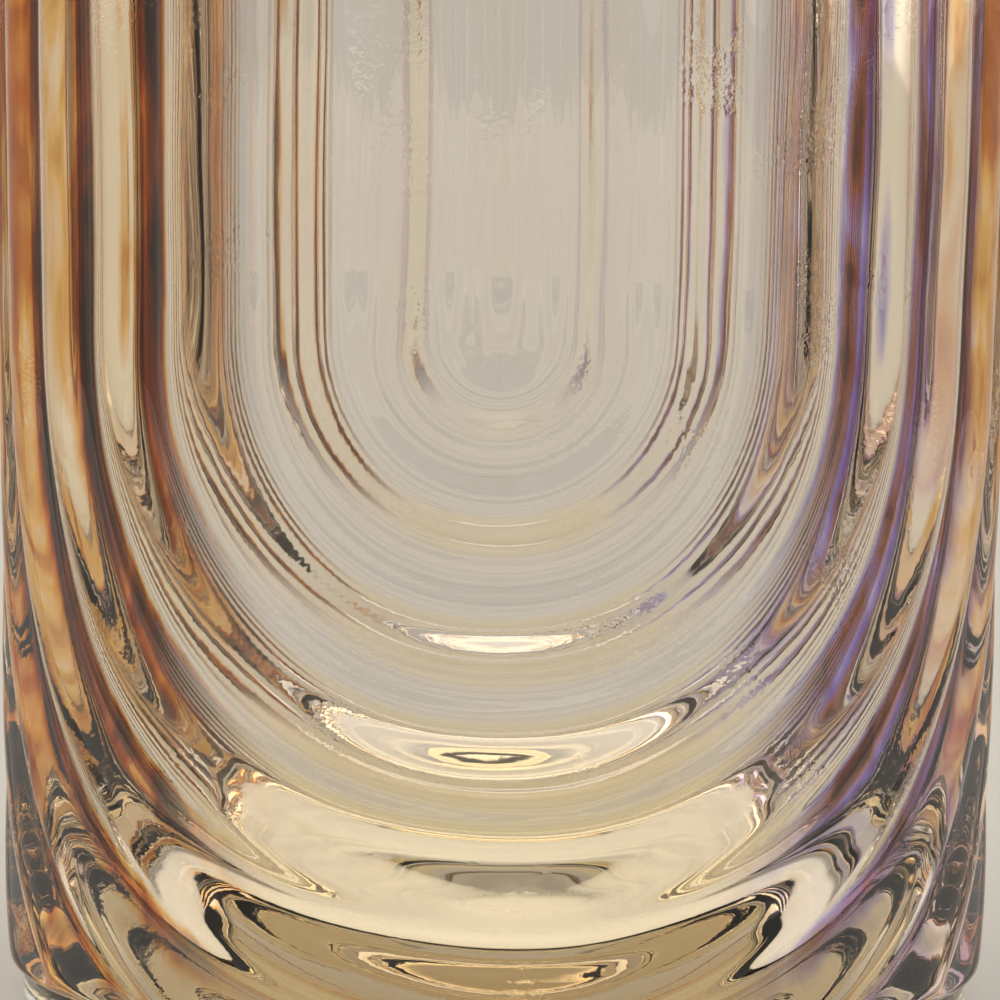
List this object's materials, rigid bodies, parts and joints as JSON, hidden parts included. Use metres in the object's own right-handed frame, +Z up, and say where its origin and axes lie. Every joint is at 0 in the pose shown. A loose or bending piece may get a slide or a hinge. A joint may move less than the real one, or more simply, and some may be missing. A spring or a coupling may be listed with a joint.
{
  "type": "vase",
  "caption": "Round, slightly flared hand blown glass vase with nested arch ribs front and back, a thick floor, a clear stepped foot and a rounded lip.",
  "frame": {"origin": "middle of the ground foot, on the surface that the vase stands on", "axes": "+Z up along the vase's axis; the front nest of arches faces -Y and its twin faces +Y"},
  "size_m": [0.1584, 0.1584, 0.25],
  "materials": {
    "clear_gather": "clear blown glass, fire-polished bore",
    "amber_casing": "mould-blown ribs with an iridescent lustre, amber to lilac",
    "clear_foot": "clear glass, ground and polished",
    "clear_lip": "fire-polished"
  },
  "bodies": {
    "root": {"inner_vessel": "clear_gather", "arch_casing": "amber_casing", "foot_pad": "clear_foot", "rim_lip": "clear_lip"}
  },
  "joints": []
}
